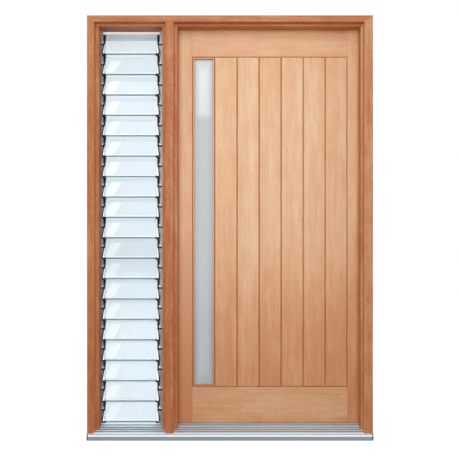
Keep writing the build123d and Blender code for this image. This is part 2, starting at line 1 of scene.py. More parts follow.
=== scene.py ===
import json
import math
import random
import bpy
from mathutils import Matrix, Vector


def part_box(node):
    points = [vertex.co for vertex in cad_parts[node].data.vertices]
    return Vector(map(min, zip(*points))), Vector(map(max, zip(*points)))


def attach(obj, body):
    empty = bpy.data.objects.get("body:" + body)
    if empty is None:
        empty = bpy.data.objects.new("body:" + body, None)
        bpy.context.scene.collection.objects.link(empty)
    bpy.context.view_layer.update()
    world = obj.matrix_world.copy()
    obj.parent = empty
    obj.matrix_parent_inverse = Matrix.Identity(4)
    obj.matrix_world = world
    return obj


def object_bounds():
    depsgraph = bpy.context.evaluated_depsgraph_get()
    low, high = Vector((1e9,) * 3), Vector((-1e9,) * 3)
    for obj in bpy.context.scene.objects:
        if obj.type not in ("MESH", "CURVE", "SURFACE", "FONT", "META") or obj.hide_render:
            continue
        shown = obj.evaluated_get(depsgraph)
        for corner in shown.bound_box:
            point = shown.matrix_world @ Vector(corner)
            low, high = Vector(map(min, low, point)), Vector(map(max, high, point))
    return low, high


bl_info = {
    "name": "Plank Door Set",
    "version": (1, 0, 0),
    "blender": (4, 5, 0),
    "location": "3D View > Sidebar > Door",
    "description": "Finishes, hinge screws and studio stage for a plank door with a louvre sidelight",
    "category": "Object",
}

import bmesh
import bpy
from bpy.props import FloatProperty, FloatVectorProperty, IntProperty, PointerProperty
from mathutils import Vector

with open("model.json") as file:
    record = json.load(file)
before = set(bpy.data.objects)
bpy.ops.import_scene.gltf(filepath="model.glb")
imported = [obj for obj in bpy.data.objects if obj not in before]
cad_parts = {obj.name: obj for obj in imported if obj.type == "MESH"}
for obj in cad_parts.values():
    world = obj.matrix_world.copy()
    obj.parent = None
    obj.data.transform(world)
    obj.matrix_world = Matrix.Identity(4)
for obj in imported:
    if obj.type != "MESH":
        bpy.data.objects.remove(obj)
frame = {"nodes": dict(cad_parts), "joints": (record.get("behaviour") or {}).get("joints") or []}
NODES = frame["nodes"]
CAD_LOW, CAD_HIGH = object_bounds()

# Pieces that take their finish together
FRAME_UPRIGHTS = ("left_jamb", "mullion", "right_jamb")
FRAME_CROSSPIECES = ("head", "louvre_head_fillet")
LEAF_STILES = ("lock_stile", "hinge_stile")
LEAF_RAILS = ("top_rail", "bottom_rail")
LEAF_BEADS = ("outside_bead", "inside_bead")
LEAF_PLANKS = tuple(sorted(name for name in NODES if name.startswith("plank_")))
LOUVRE_BLADES = tuple(sorted(name for name in NODES if name.startswith("louvre_blade_")))
LOUVRE_GALLERIES = ("left_gallery", "right_gallery")
WEATHER_BARS = ("louvre_head_bar", "louvre_sill_bar")

# Axis numbers for the direction that a timber's grain runs
ACROSS_DOOR = 0
UP_DOOR = 2

WHITE = (1.0, 1.0, 1.0, 1.0)

# Softened edges: corners this near are joined, flats within these degrees are merged, and steps of an arris
CORNER_GAP = 0.00001
FLAT_ANGLE = 0.5
ARRIS_STEPS = 2

# Angles in degrees over which an edge is an arris: on square pieces, on curved ones and on hinge barrels
SQUARE_EDGE = 35.0
CURVED_EDGE = 40.0
BARREL_EDGE = 45.0

# Sum of the grain's layers that counts as the middle tone, and how much of their own colour the pores show
GRAIN_LEVEL = 0.44
PORE_STRENGTH = 0.55

# Strength of a colour in a metal's smears, of the painted shade at the sill's step, and on scuffed plastic
SMEAR_TONE = 0.86
RISER_TONE = 0.7
SCUFF_TONE = 1.9

# How far the roughness of etched glass varies either way
ETCH_VARIATION = 0.06


def colour(name, description, default):
    """A colour that a user can change."""
    return FloatVectorProperty(
        name=name, description=description, default=default, size=3, min=0.0, max=1.0, subtype="COLOR"
    )


def length(name, description, default):
    """A size in metres that a user can change."""
    return FloatProperty(name=name, description=description, default=default, min=0.0, unit="LENGTH")


def share(name, description, default):
    """A number from 0 to 1 that a user can change."""
    return FloatProperty(
        name=name, description=description, default=default, min=0.0, max=1.0, subtype="FACTOR"
    )


def amount(name, description, default):
    """A plain number that a user can change."""
    return FloatProperty(name=name, description=description, default=default, min=0.0)


def point(name, description, default):
    """A point in the door's own frame that a user can change."""
    return FloatVectorProperty(
        name=name, description=description, default=default, size=3, unit="LENGTH", subtype="TRANSLATION"
    )


class TimberSettings(bpy.types.PropertyGroup):
    """Colours, gloss and edges of the leaf's and the frame's timber."""

    leaf_pale: colour("Leaf pale grain", "Lightest streaks of the leaf's timber", (0.61, 0.335, 0.185))
    leaf_middle: colour("Leaf middle grain", "Main colour of the leaf's timber", (0.535, 0.23, 0.09))
    leaf_deep: colour("Leaf deep grain", "Darkest streaks of the leaf's timber", (0.46, 0.142, 0.034))
    leaf_pore: colour("Leaf pores", "Open pores of the leaf's timber", (0.34, 0.11, 0.04))
    leaf_roughness: share("Leaf roughness", "Middle roughness of the leaf's satin coat", 0.38)
    leaf_gloss: share("Leaf gloss", "Strength of the leaf's satin coat", 1.0)
    leaf_sheen: colour("Leaf sheen", "Colour of light on the leaf's satin coat", (1.0, 0.98, 0.78))
    # Painted shade: the leaf's colour deepens towards its foot, where less light falls on it
    leaf_foot_painted_shade: share("Leaf foot", "How much deeper the leaf's colour is at its foot", 0.22)
    foot_low: length("Foot low", "Height up to which the leaf keeps its deeper colour", 0.5)
    foot_high: length("Foot high", "Height from which the leaf is at its full paleness", 1.2)
    frame_pale: colour("Frame pale grain", "Lightest streaks of the frame's timber", (0.60, 0.315, 0.155))
    frame_middle: colour("Frame middle grain", "Main colour of the frame's timber", (0.485, 0.162, 0.056))
    frame_deep: colour("Frame deep grain", "Darkest streaks of the frame's timber", (0.38, 0.078, 0.02))
    frame_pore: colour("Frame pores", "Open pores of the frame's timber", (0.21, 0.05, 0.018))
    frame_roughness: share("Frame roughness", "Middle roughness of the frame's oiled face", 0.5)
    frame_gloss: share("Frame gloss", "Strength of the frame's oiled sheen", 0.3)
    frame_sheen: colour("Frame sheen", "Colour of light on the frame's oiled face", (1.0, 0.97, 0.9))
    # Painted light: the sideways-facing sides of the outer rebate are made paler, as if more light fell on
    # them
    rebate_painted_light: share("Rebate paling", "How much paler the planed sides of the outer rebate are", 0.5)
    rebate_depth: length("Rebate depth", "Depth of the frame's outer rebate", 0.033)
    leaf_arris: length("Leaf arris", "Rounding of the edges of stiles, rails and planks", 0.0005)
    bead_arris: length("Bead arris", "Rounding of the edges of the glazing beads", 0.0003)
    frame_arris: length("Frame arris", "Rounding of the edges of the frame's timbers", 0.0007)


class GlassSettings(bpy.types.PropertyGroup):
    """Tints of the louvre blades and of the strip in the leaf."""

    blade_tint: colour("Blade tint", "Colour of the louvre glass through its faces", (0.71, 0.80, 0.865))
    # Painted light: the louvre glass is made paler towards the head
    blade_painted_top_light: colour("Blade crown", "Colour of the louvre glass near the head", (0.79, 0.875, 0.935))
    # Painted highlight: colour of the slanting reflection painted on each blade and of the pale line above
    # each foot
    blade_painted_highlight: colour("Blade streak", "Paler slanting streak on each blade", (0.93, 0.985, 1.0))
    blade_lap: colour("Blade lap", "Colour of a blade's upper edge behind the next blade", (0.96, 0.99, 1.0))
    blade_edge: colour("Blade edge", "Colour of the louvre glass at its cut edges", (0.15, 0.34, 0.36))
    blade_clearness: share("Blade clearness", "Share of light that goes through a blade", 0.78)
    blade_roughness: share("Blade roughness", "Roughness of the blades' faces", 0.04)
    edge_clearness: share("Edge clearness", "Share of light that goes through a cut edge", 0.15)
    blade_edge_band: length("Blade edge band", "Height of the edge's colour at a blade's foot", 0.0085)
    blade_arris: length("Blade arris", "Ground edge of a blade", 0.0007)
    # Shape of the painted slanting highlight on each blade
    highlight_right: share("Streak side", "Right side of the streak at its foot, as a share of the blade", 0.15)
    highlight_width: share("Streak width", "Width of the streak, as a share of the blade's length", 0.18)
    highlight_slant: share("Streak slant", "Lean of the streak over a blade, as a share of its length", 0.205)
    highlight_low: share("Streak foot", "Foot of the streak, as a share of a blade's height", 0.06)
    highlight_high: share("Streak head", "Head of the streak, as a share of a blade's height", 0.78)
    highlight_fade: share("Streak fade", "Strength that the streak has left on the lowest blade", 0.35)
    strip_tint: colour("Strip tint", "Colour of the obscure glass", (0.455, 0.497, 0.512))
    # Painted reflection: the strip is made paler above eye level
    strip_painted_reflection: colour("Strip pale part", "Colour of the obscure glass above eye level", (0.735, 0.76, 0.775))
    # Painted light: the strip is made paler towards its foot
    strip_foot_painted_light: colour("Strip foot", "Colour of the obscure glass near its foot", (0.57, 0.615, 0.64))
    # Painted shade: the strip is made darker beside its beads and at its ends
    strip_painted_edge_shade: colour("Strip edge", "Colour of the obscure glass beside its beads", (0.36, 0.40, 0.45))
    strip_reflection_height: length("Strip pale height", "Height above the sill where the paler part starts", 1.648)
    strip_reflection_blur: length("Strip pale blur", "Height over which the glass turns paler", 0.05)
    strip_fade: length("Strip fade", "Width over which the strip's edges turn darker", 0.022)
    strip_end_fade: length("Strip end fade", "Height over which the strip's ends turn darker", 0.1)
    strip_end_painted_shade: share("Strip end", "How much of the edge's colour the strip's ends take", 0.5)
    strip_foot_height: length("Strip foot height", "Height at the strip's foot in its full colour", 0.1)
    strip_clearness: share("Strip clearness", "Share of light that goes through the strip", 0.15)
    strip_roughness: share("Strip roughness", "Roughness of the etched face", 0.5)
    strip_coat: share("Strip gloss", "Strength of the strip's smooth outer face", 0.75)
    strip_coat_roughness: share("Strip gloss roughness", "Roughness of the strip's smooth outer face", 0.12)


class MetalSettings(bpy.types.PropertyGroup):
    """Colours and edges of the sill, the louvre's fittings and the hinges."""

    sill_colour: colour("Sill", "Mill-finish aluminium of the sill", (0.71, 0.81, 0.91))
    # Painted highlight on the nose's rounding and the land behind it; painted shade in the blue-grey line and
    # on the nose's front
    sill_nose_painted_highlight: colour("Sill nose", "Brighter rounding of the sill's nose", (0.92, 0.945, 0.97))
    sill_shade: colour("Sill shade", "Blue-grey line on top of the sill's nose", (0.31, 0.41, 0.53))
    sill_front_painted_shade: colour("Sill front", "Duller front of the sill's nose", (0.28, 0.325, 0.37))
    # Painted light on the sill's seat, which lies in shade
    sill_seat_painted_light: colour("Sill seat", "Clean seat of the sill under leaf and louvre", (0.84, 0.94, 1.0))
    # Painted shade in the sill's flutes and at its step
    sill_painted_shade: colour("Flute grime", "Dark dust in the sill's flutes", (0.19, 0.23, 0.27))
    flute_pitch: length("Flute pitch", "Distance between the sill's flutes", 0.019)
    flute_width: length("Flute width", "Width of one flute and its dust", 0.007)
    flute_count: IntProperty(name="Flutes", description="Number of flutes in the sill", default=4, min=1)
    riser_depth: length("Riser", "From the frame's outside face to the step of the sill", 0.082)
    land_depth: length("Land", "Depth of the bright land behind the sill's nose", 0.005)
    nose_depth: length("Nose", "How far before the frame's outside face the nose's colours end", 0.0062)
    nose_front_height: length("Nose front height", "Height of the nose's duller front", 0.019)
    nose_shade_height: length("Nose shade height", "Height at which the blue-grey line starts", 0.028)
    sill_metallic: share("Sill metal", "How metallic the sill's reflections are", 0.1)
    sill_roughness: share("Sill roughness", "Middle roughness of the sill", 0.5)
    cap_colour: colour("End caps", "Dark plastic of the sill's end caps", (0.035, 0.042, 0.05))
    cap_roughness: share("End cap roughness", "Middle roughness of the end caps", 0.45)
    gallery_colour: colour("Galleries", "Grey anodised aluminium of the uprights", (0.38, 0.42, 0.46))
    gallery_roughness: share("Gallery roughness", "Middle roughness of the galleries", 0.36)
    gallery_metallic: share("Gallery metal", "How metallic the galleries' reflections are", 0.1)
    # Painted shade: the clips' black bodies stand for the shaded upper half of each clip
    clip_body_painted_shade: colour("Clip bodies", "Black nylon of the louvre's clips", (0.012, 0.013, 0.014))
    clip_body_roughness: share("Clip body roughness", "Middle roughness of the clip bodies", 0.5)
    clip_body_gloss: share("Clip body gloss", "Strength of the clip bodies' sheen", 0.2)
    # Painted light: the clips' bright plates stand for the lit lower half of each clip
    clip_plate_painted_light: colour("Clip plates", "Bright aluminium of the louvre's clips", (0.86, 0.87, 0.88))
    clip_plate_roughness: share("Clip plate roughness", "Middle roughness of the clip plates", 0.35)
    clip_plate_metallic: share("Clip plate metal", "How metallic the clip plates' reflections are", 0.2)
    bar_colour: colour("Weather bars", "Pale aluminium of the louvre's weather bars", (0.95, 0.95, 0.95))
    bar_roughness: share("Weather bar roughness", "Middle roughness of the weather bars", 0.5)
    bar_metallic: share("Weather bar metal", "How metallic the weather bars' reflections are", 0.0)
    hinge_colour: colour("Hinges", "Satin steel of the hinges and screws", (0.50, 0.50, 0.49))
    hinge_roughness: share("Hinge roughness", "Middle roughness of the hinges", 0.34)
    metal_arris: length("Metal arris", "Rounding of the edges of sill, galleries and hinges", 0.0005)
    clip_arris: length("Clip arris", "Rounding of the edges of the louvre's clips", 0.0004)
    screw_radius: length("Screw radius", "Radius of a hinge screw's head", 0.0036)
    screw_rise: length("Screw rise", "Height of a screw's head over its plate", 0.0006)
    screws_per_plate: IntProperty(
        name="Screws per plate", description="Screws in one plate of a hinge", default=4, min=1, max=8
    )


class StageSettings(bpy.types.PropertyGroup):
    """Camera, lamps, background and floor."""

    camera_distance: length("Camera distance", "From the frame's outside face to the camera", 3.254)
    camera_height: length("Camera height", "Camera over the sill's underside", 1.0578)
    camera_lens: FloatProperty(
        name="Lens", description="Focal length of the camera", default=50.56, min=1.0, unit="CAMERA"
    )
    key_place: point("Key lamp", "Middle of the softbox that shades the rebates", (-0.4, -3.0, 4.1))
    key_width: length("Key width", "Width of the key softbox", 2.4)
    key_height: length("Key height", "Height of the key softbox", 1.6)
    key_radiance: amount("Key brightness", "Radiance of the key softbox", 3.3)
    scrim_place: point("Scrim", "Middle of the broad frontal scrim", (0.0, -3.9, 1.55))
    scrim_width: length("Scrim width", "Width of the frontal scrim", 3.4)
    scrim_height: length("Scrim height", "Height of the frontal scrim", 3.6)
    scrim_fade: share("Scrim fade", "Share of the scrim's height over which it dims towards its foot", 0.3)
    scrim_radiance: amount("Scrim brightness", "Radiance of the frontal scrim", 3.45)
    fill_place: point("Side fills", "Middle of the right fill; the left one mirrors it", (3.2, -1.4, 1.1))
    fill_width: length("Fill width", "Width of a side fill", 1.2)
    fill_height: length("Fill height", "Height of a side fill", 2.2)
    fill_radiance: amount("Fill brightness", "Radiance of the side fills", 2.0)
    back_place: point("Back lamp", "Middle of the softbox that lights the inside face", (0.3, 3.4, 4.2))
    back_width: length("Back width", "Width of the back softbox", 3.4)
    back_height: length("Back height", "Height of the back softbox", 2.4)
    back_radiance: amount("Back brightness", "Radiance of the back softbox", 6.0)
    surroundings: share("Surroundings", "Level of the light from all round", 0.1)
    floor_size: length("Floor size", "Side of the square floor", 40.0)
    floor_colour: colour("Floor", "Colour of the floor", (0.24, 0.24, 0.24))
    floor_glow: share("Floor glow", "Share of white that the camera sees on the floor", 0.97)


class Finish:
    """A material being made: its shader, and short calls for the nodes that the finishes share."""

    def __init__(self, name):
        self.material = bpy.data.materials.new(name)
        self.material.use_nodes = True
        self.nodes = self.material.node_tree.nodes
        self.links = self.material.node_tree.links
        self.nodes.clear()
        self.shader = self.nodes.new("ShaderNodeBsdfPrincipled")
        output = self.nodes.new("ShaderNodeOutputMaterial")
        self.links.new(self.shader.outputs["BSDF"], output.inputs["Surface"])
        coordinates = self.nodes.new("ShaderNodeTexCoord")
        self.place = coordinates.outputs["Object"]
        self.facing = coordinates.outputs["Normal"]

    def feed(self, socket, value):
        """Link another node's output to a socket, or set the socket's own value."""
        if isinstance(value, bpy.types.NodeSocket):
            self.links.new(value, socket)
        else:
            socket.default_value = value

    def node(self, kind, inputs, **settings):
        """A new node with its settings and inputs."""
        made = self.nodes.new(kind)
        for key, value in settings.items():
            setattr(made, key, value)
        for name, value in inputs.items():
            self.feed(made.inputs[name], value)
        return made

    def surface(self, values):
        """Set the shader's own sockets."""
        for name, value in values.items():
            self.feed(self.shader.inputs[name], value)

    def stretched(self, scale, shift=(0.0, 0.0, 0.0), turn=(0.0, 0.0, 0.0)):
        """The piece's own coordinates, scaled along each axis."""
        inputs = {"Vector": self.place, "Scale": scale, "Location": shift, "Rotation": turn}
        return self.node("ShaderNodeMapping", inputs).outputs["Vector"]

    def noise(self, vector, detail=2.0, roughness=0.5):
        """Cloudy values about one half."""
        inputs = {"Vector": vector, "Scale": 1.0, "Detail": detail, "Roughness": roughness}
        return self.node("ShaderNodeTexNoise", inputs).outputs["Fac"]

    def axis(self, vector, name):
        """One coordinate of a vector."""
        return self.node("ShaderNodeSeparateXYZ", {"Vector": vector}).outputs[name]

    def maths(self, operation, first, second=0.0):
        """A sum on one or two values."""
        made = self.nodes.new("ShaderNodeMath")
        made.operation = operation
        self.feed(made.inputs[0], first)
        self.feed(made.inputs[1], second)
        return made.outputs[0]

    def spread(self, value, low, high, to_low=0.0, to_high=1.0):
        """A smooth step from one value to another between two limits."""
        inputs = {"Value": value, "From Min": low, "From Max": high, "To Min": to_low, "To Max": to_high}
        return self.node("ShaderNodeMapRange", inputs, interpolation_type="SMOOTHSTEP").outputs["Result"]

    def beyond(self, value, limit, blur):
        """0 up to a limit, and 1 from a blur's width past it."""
        return self.spread(value, limit, limit + blur)

    def short_of(self, value, limit, blur):
        """1 up to a limit, and 0 from a blur's width past it."""
        return self.spread(value, limit, limit + blur, 1.0, 0.0)

    def between(self, value, low, high, blur):
        """1 from one limit to another, each with a blur's width past it."""
        return self.product(self.beyond(value, low, blur), self.short_of(value, high, blur))

    def product(self, first, *others):
        """Values times each other."""
        for other in others:
            first = self.maths("MULTIPLY", first, other)
        return first

    def weighted(self, parts):
        """The sum of values, each times its weight."""
        total = None
        for value, weight in parts:
            part = self.maths("MULTIPLY", value, weight)
            total = part if total is None else self.maths("ADD", total, part)
        return total

    def ramp(self, value, stops):
        """Colours along a scale from 0 to 1."""
        made = self.node("ShaderNodeValToRGB", {"Fac": value})
        elements = made.color_ramp.elements
        while len(elements) < len(stops):
            elements.new(1.0)
        for element, (position, tone) in zip(elements, stops):
            element.position = position
            element.color = tone
        return made.outputs["Color"]

    def mixed(self, factor, first, second):
        """Two colours mixed."""
        made = self.nodes.new("ShaderNodeMix")
        made.data_type = "RGBA"
        colours = [socket for socket in made.inputs if socket.type == "RGBA"]
        self.feed(made.inputs["Factor"], factor)
        self.feed(colours[0], first)
        self.feed(colours[1], second)
        return next(socket for socket in made.outputs if socket.type == "RGBA")

    def relief(self, height, distance, strength):
        """Small relief on the surface."""
        inputs = {"Height": height, "Distance": distance, "Strength": strength}
        self.feed(self.shader.inputs["Normal"], self.node("ShaderNodeBump", inputs).outputs["Normal"])


def opaque(tone, strength=1.0):
    """A colour with full alpha, made darker or lighter by its strength."""
    return tuple(strength * part for part in tone) + (1.0,)


def along_grain(axis, across, lengthwise):
    """Scale across the grain on two axes, and lengthwise on the grain's own."""
    scale = [across, across, across]
    scale[axis] = lengthwise
    return tuple(scale)


def middle_of(node):
    """Middle of a node's box."""
    low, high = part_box(node)
    return (low + high) / 2


def dress(node, material):
    """Give a piece its material."""
    slots = NODES[node].data.materials
    slots.clear()
    slots.append(material)


def soften(node, width, sharp_angle=SQUARE_EDGE):
    """Round a piece's edges: join its corners, merge its flats, bevel what is sharp, and smooth the light."""
    piece = NODES[node]
    weld = piece.modifiers.new("Join corners", "WELD")
    weld.merge_threshold = CORNER_GAP
    flats = piece.modifiers.new("Merge flats", "DECIMATE")
    flats.decimate_type = "DISSOLVE"
    flats.angle_limit = math.radians(FLAT_ANGLE)
    bevel = piece.modifiers.new("Soft arris", "BEVEL")
    bevel.width = width
    bevel.segments = ARRIS_STEPS
    bevel.limit_method = "ANGLE"
    bevel.angle_limit = math.radians(sharp_angle)
    bevel.use_clamp_overlap = True
    piece.modifiers.new("Even light", "WEIGHTED_NORMAL")


class Board(Finish):
    """Timber of one piece being made, with layers that follow its own grain."""

    # Where the tree's heart may lie, beside the piece's middle and behind it
    heart_beside = 0.08
    heart_behind = (0.12, 0.3)
    # How far the grain may lean, in radians, and how far its pattern is shuffled
    lean = 0.012
    shuffle = 20.0
    # How much the growth rings are drawn out along the grain
    ring_stretch = 0.06

    def __init__(self, node, direction):
        super().__init__(node + "_timber")
        self.direction = direction
        draw = random.Random(node)
        beside = draw.uniform(-self.heart_beside, self.heart_beside)
        behind = draw.uniform(*self.heart_behind)
        above = draw.uniform(-self.heart_beside, self.heart_beside)
        self.heart = middle_of(node) + Vector((beside, behind, above))
        self.turn = (0.0, draw.uniform(-self.lean, self.lean), 0.0)
        self.shift = [draw.uniform(-self.shuffle, self.shuffle) for _ in range(3)]

    def layer(self, across, lengthwise, detail, roughness=0.5, leaning=True):
        """Noise that is drawn out along the grain."""
        turn = self.turn if leaning else (0.0, 0.0, 0.0)
        scale = along_grain(self.direction, across, lengthwise)
        return self.noise(self.stretched(scale, self.shift, turn), detail, roughness)

    def growth_rings(self):
        """Rings round the tree's heart."""
        scale = along_grain(self.direction, 1.0, self.ring_stretch)
        shift = tuple(-part * size for part, size in zip(self.heart, scale))
        inputs = {
            "Vector": self.stretched(scale, shift, self.turn),
            "Scale": 9.0,
            "Distortion": 5.0,
            "Detail": 3.0,
            "Detail Scale": 3.5,
            "Detail Roughness": 0.55,
        }
        along = "XYZ"[self.direction]
        rings = self.node("ShaderNodeTexWave", inputs, wave_type="RINGS", rings_direction=along)
        return rings.outputs["Fac"]

    def painted_foot_shade(self, deepening, low, high):
        """Painted shade: a deeper tone at the leaf's foot, which fades out on the way up."""
        return self.spread(self.axis(self.place, "Z"), low, high, -deepening, 0.0)

    def painted_rebate_light(self, paling, depth):
        """Painted light: a paler tone on the sides of the outer rebate, and none on the frame's own outer
        sides.
        """
        aside = self.maths("ABSOLUTE", self.axis(self.facing, "X"))
        from_middle = self.maths("ABSOLUTE", self.axis(self.place, "X"))
        outer_rim = 0.01
        return self.product(
            self.spread(aside, 0.6, 0.9, 0.0, paling),
            self.short_of(self.axis(self.place, "Y"), depth, blur=0.001),
            self.short_of(from_middle, CAD_HIGH.x - outer_rim, blur=outer_rim / 2),
        )


def timber(node, axis, lightness, tones, roughness, gloss, sheen, foot=None, rebate=None):
    """Timber of one piece: growth figure, streaks, fibres and pores that follow its own grain."""
    pale, middle, deep, pore = (opaque(tone) for tone in tones)
    wood = Board(node, axis)
    streaks = wood.layer(across=70.0, lengthwise=4.0, detail=5.0, roughness=0.62)
    fibres = wood.layer(across=420.0, lengthwise=18.0, detail=3.0, roughness=0.6)
    clouds = wood.layer(across=6.0, lengthwise=1.8, detail=2.0, leaning=False)
    figure = wood.layer(across=17.0, lengthwise=8.0, detail=3.0, roughness=0.55)
    flecks = wood.layer(across=170.0, lengthwise=60.0, detail=2.0, roughness=0.6)
    vessels = wood.layer(across=1150.0, lengthwise=26.0, detail=1.0)
    rings = wood.growth_rings()
    weights = [(streaks, 0.5), (rings, 0.12), (fibres, 0.2), (clouds, 0.3), (figure, 0.42), (flecks, 0.34)]
    tone = wood.maths("ADD", wood.weighted(weights), lightness - GRAIN_LEVEL)
    # Painted shade that deepens the leaf's colour towards its foot
    if foot:
        tone = wood.maths("ADD", tone, wood.painted_foot_shade(*foot))
    # Painted light on the sides of the outer rebate
    if rebate:
        tone = wood.maths("ADD", tone, wood.painted_rebate_light(*rebate))
    grain = wood.ramp(tone, [(0.26, deep), (0.5, middle), (0.76, pale)])
    open_pores = wood.beyond(vessels, 0.64, blur=0.1)
    wood.surface({
        "Base Color": wood.mixed(wood.maths("MULTIPLY", open_pores, PORE_STRENGTH), grain, pore),
        "Roughness": wood.spread(fibres, 0.25, 0.75, roughness - 0.03, roughness + 0.05),
        "IOR": 1.55,
        "Specular IOR Level": gloss,
        "Specular Tint": opaque(sheen),
    })
    height = wood.weighted([(fibres, 0.35), (streaks, 0.25), (open_pores, -0.6)])
    wood.relief(height, distance=0.0004, strength=0.2)
    return wood.material


def louvre_glass(settings):
    """Clear louvre glass: pale faces that are painted paler towards the head, a painted slanting highlight
    and a painted highlight line above each foot, clear laps, and green ground edges.
    """
    glass = Finish("louvre_glass")
    low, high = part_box(LOUVRE_BLADES[0])
    second_low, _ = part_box(LOUVRE_BLADES[1])
    pitch = low.z - second_low.z
    lap = (high.z - low.z) / pitch - 1.0
    x, y, z = (glass.axis(glass.place, name) for name in "XYZ")
    along = glass.maths("DIVIDE", glass.maths("SUBTRACT", x, low.x), high.x - low.x)
    up = glass.maths("FRACT", glass.maths("DIVIDE", glass.maths("SUBTRACT", z, low.z), pitch))
    # Half the width of a soft limit, in metres and as a share of a blade
    soft = 0.004

    # Painted highlight: a slanting pale band on each blade, standing in for a reflection
    slanted = glass.maths("SUBTRACT", along, glass.maths("MULTIPLY", up, settings.highlight_slant))
    right = settings.highlight_right - soft
    streak = glass.product(
        glass.short_of(z, low.z - soft, blur=2 * soft),
        glass.between(slanted, right - settings.highlight_width, right, blur=2 * soft),
        glass.between(up, settings.highlight_low - soft, settings.highlight_high - soft, blur=2 * soft),
        glass.spread(z, 0.0, low.z, settings.highlight_fade, 1.0),
    )
    tilt = math.atan2(high.y - low.y, high.z - low.z)
    outward = (0.0, -math.cos(tilt), math.sin(tilt))
    toward = glass.node("ShaderNodeVectorMath", {0: glass.facing, 1: outward}, operation="DOT_PRODUCT")
    flat_on = glass.maths("ABSOLUTE", toward.outputs["Value"])
    outer_half = glass.short_of(y, (low.y + high.y) / 2 - soft, blur=2 * soft)
    inner_half = glass.maths("SUBTRACT", 1.0, outer_half)
    band = settings.blade_edge_band / pitch
    cut = glass.short_of(flat_on, 0.55, blur=0.4)
    foot = glass.short_of(up, 0.6 * band, blur=0.4 * band)
    edge = glass.product(glass.maths("MAXIMUM", cut, foot), outer_half)
    # Painted highlight: a pale line just above each blade's green foot
    highlight_line_low = glass.beyond(up, band, blur=0.15 * band)
    highlight_line_high = glass.short_of(up, 1.5 * band, blur=0.2 * band)
    lapped = glass.short_of(up, lap, blur=band)

    tint, painted_top_light = opaque(settings.blade_tint), opaque(settings.blade_painted_top_light)
    # pale holds the colour of the painted highlights
    pale, clear = opaque(settings.blade_painted_highlight), opaque(settings.blade_lap)
    # Painted light: the faces turn paler towards the head
    face = glass.mixed(glass.spread(z, 0.0, high.z), tint, painted_top_light)
    # Painted slanting highlight on the faces
    face = glass.mixed(streak, face, pale)
    face = glass.mixed(glass.product(lapped, inner_half), face, clear)
    # Painted highlight line above the foot
    face = glass.mixed(glass.product(highlight_line_low, highlight_line_high, outer_half), face, pale)
    clearness = glass.spread(edge, 0.0, 1.0, settings.blade_clearness, settings.edge_clearness)
    glass.surface({
        "Base Color": glass.mixed(edge, face, opaque(settings.blade_edge)),
        "Roughness": settings.blade_roughness,
        "IOR": 1.3,
        "Specular IOR Level": 0.3,
        "Transmission Weight": clearness,
    })
    ripple = glass.noise(glass.stretched((14.0, 14.0, 22.0)), detail=1.0)
    glass.relief(ripple, distance=0.0006, strength=0.12)
    return glass.material


def obscure_glass(settings):
    """Etched strip glass: satin body, smooth face, a painted reflection above eye level, painted light
    towards its foot, and painted shade beside its beads and at its ends.
    """
    glass = Finish("obscure_glass")
    low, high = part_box("strip_glass")
    middle = (low + high) / 2
    x = glass.axis(glass.place, "X")
    z = glass.axis(glass.place, "Z")
    from_middle = glass.maths("ABSOLUTE", glass.maths("SUBTRACT", x, middle.x))
    # Painted shade beside the beads and at the strip's ends
    rim = glass.spread(from_middle, high.x - middle.x - 2 * settings.strip_fade, high.x - middle.x)
    to_end = glass.maths("MINIMUM", glass.maths("SUBTRACT", z, low.z), glass.maths("SUBTRACT", high.z, z))
    ends = glass.spread(to_end, 0.0, settings.strip_end_fade, settings.strip_end_painted_shade, 0.0)
    # Painted light: the strip turns paler towards its foot
    low_down = glass.spread(z, low.z + settings.strip_foot_height, middle.z, 1.0, 0.0)
    # Painted reflection: the strip turns paler above eye level
    start = settings.strip_reflection_height - settings.strip_reflection_blur / 2
    pale = glass.beyond(z, start, blur=settings.strip_reflection_blur)
    tone = glass.mixed(low_down, opaque(settings.strip_tint), opaque(settings.strip_foot_painted_light))
    tone = glass.mixed(pale, tone, opaque(settings.strip_painted_reflection))
    # Painted shade beside the beads and at the ends
    tone = glass.mixed(glass.maths("MAXIMUM", rim, ends), tone, opaque(settings.strip_painted_edge_shade))
    cloud = glass.noise(glass.stretched((6.0, 6.0, 2.0)), detail=2.0)
    clouded = glass.spread(cloud, 0.4, 0.75, 0.0, 0.3)
    etched = glass.noise(glass.stretched((900.0, 900.0, 900.0)), detail=2.0)
    smooth, rough = settings.strip_roughness - ETCH_VARIATION, settings.strip_roughness + ETCH_VARIATION
    glass.surface({
        "Base Color": glass.mixed(clouded, tone, opaque(settings.strip_tint, 0.94)),
        "Roughness": glass.spread(etched, 0.3, 0.7, smooth, rough),
        "IOR": 1.5,
        "Transmission Weight": settings.strip_clearness,
        "Coat Weight": settings.strip_coat,
        "Coat Roughness": settings.strip_coat_roughness,
    })
    glass.relief(etched, distance=0.0001, strength=0.1)
    return glass.material


class DrawnMetal(Finish):
    """Extruded or brushed metal being made, with fine lines and dull smears along one axis."""

    def __init__(self, name, tone, axis):
        super().__init__(name)
        self.lines = self.noise(self.stretched(along_grain(axis, 1400.0, 3.0)), detail=3.0, roughness=0.7)
        smears = self.noise(self.stretched(along_grain(axis, 60.0, 4.0)), detail=3.0)
        self.face = self.mixed(self.beyond(smears, 0.35, blur=0.35), opaque(tone), opaque(tone, SMEAR_TONE))

    def polish(self, face, metallic, roughness):
        """Set the shader, with a roughness that follows the drawn lines."""
        self.surface({
            "Base Color": face,
            "Metallic": metallic,
            "Roughness": self.spread(self.lines, 0.25, 0.75, roughness - 0.07, roughness + 0.1),
        })
        self.relief(self.lines, distance=0.00015, strength=0.25)


def drawn_metal(name, tone, roughness, axis, metallic=1.0):
    """Extruded or brushed metal of one colour."""
    metal = DrawnMetal(name, tone, axis)
    metal.polish(metal.face, metallic, roughness)
    return metal.material


